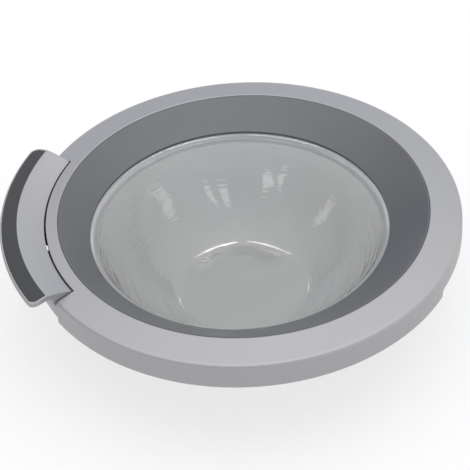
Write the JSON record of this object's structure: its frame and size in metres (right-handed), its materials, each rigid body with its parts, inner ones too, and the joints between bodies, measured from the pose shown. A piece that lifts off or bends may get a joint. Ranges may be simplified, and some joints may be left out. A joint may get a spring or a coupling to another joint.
{
  "type": "washing machine door",
  "caption": "Round front-loader washing machine door: silver frame, dark dished ring, glass bowl, sprung pull handle with latch hook, and a hinge bracket.",
  "frame": {"origin": "middle of the flat end of the glass bowl, which the door rests on", "axes": "+Z out of the door's face, +X towards the hinge, +Y towards the door's upper side when it is hung"},
  "size_m": [0.4835, 0.4592, 0.1337],
  "materials": {
    "silver_plastic": "fine satin silver",
    "bezel_plastic": "smooth dark grey",
    "bowl_glass": "clear pressed glass",
    "rear_plastic": "plain moulded light grey",
    "grip_plastic": "fine-grained dark grey",
    "zinc_plated_steel": "zinc plated",
    "pin_steel": "ground",
    "spring_steel": "drawn wire and strip",
    "cast_zinc": "die cast",
    "bracket_steel": "zinc plated",
    "bush_plastic": "natural white"
  },
  "bodies": {
    "door": {"front_frame": "silver_plastic", "bezel_ring": "bezel_plastic", "glass_bowl": "bowl_glass", "rear_frame": "rear_plastic", "frame_screws": "zinc_plated_steel", "handle_pin": "pin_steel", "handle_clips": "spring_steel", "handle_spring": "spring_steel", "hinge_support": "cast_zinc", "hinge_bush_upper": "bush_plastic", "hinge_bush_lower": "bush_plastic", "hinge_pin": "pin_steel", "hinge_clips": "spring_steel", "hinge_screws": "zinc_plated_steel"},
    "handle": {"handle_lever": "silver_plastic", "handle_grip": "grip_plastic", "hook_spring": "spring_steel"},
    "hook": {"latch_hook": "cast_zinc"},
    "bracket": {"hinge_bracket": "bracket_steel"}
  },
  "joints": [
    {"name": "handle_pull", "type": "hinge", "parent": "door", "child": "handle", "pos_m": [-0.2082, 0, 0.117], "axis": [0, 1, 0], "range_deg": [0, 14], "stiffness_Nm_per_rad": 0.5, "springref_deg": -17.19, "deforming": ["handle_spring"]},
    {"name": "hook_swing", "type": "hinge", "parent": "handle", "child": "hook", "pos_m": [-0.2082, 0, 0.117], "axis": [0, 1, 0], "range_deg": [0, 8], "stiffness_Nm_per_rad": 0.4, "springref_deg": -17.19, "deforming": ["hook_spring"]},
    {"name": "door_swing", "type": "hinge", "parent": "door", "child": "bracket", "pos_m": [0.2218, 0, 0.1055], "axis": [0, -1, 0], "range_deg": [0, 130]}
  ]
}
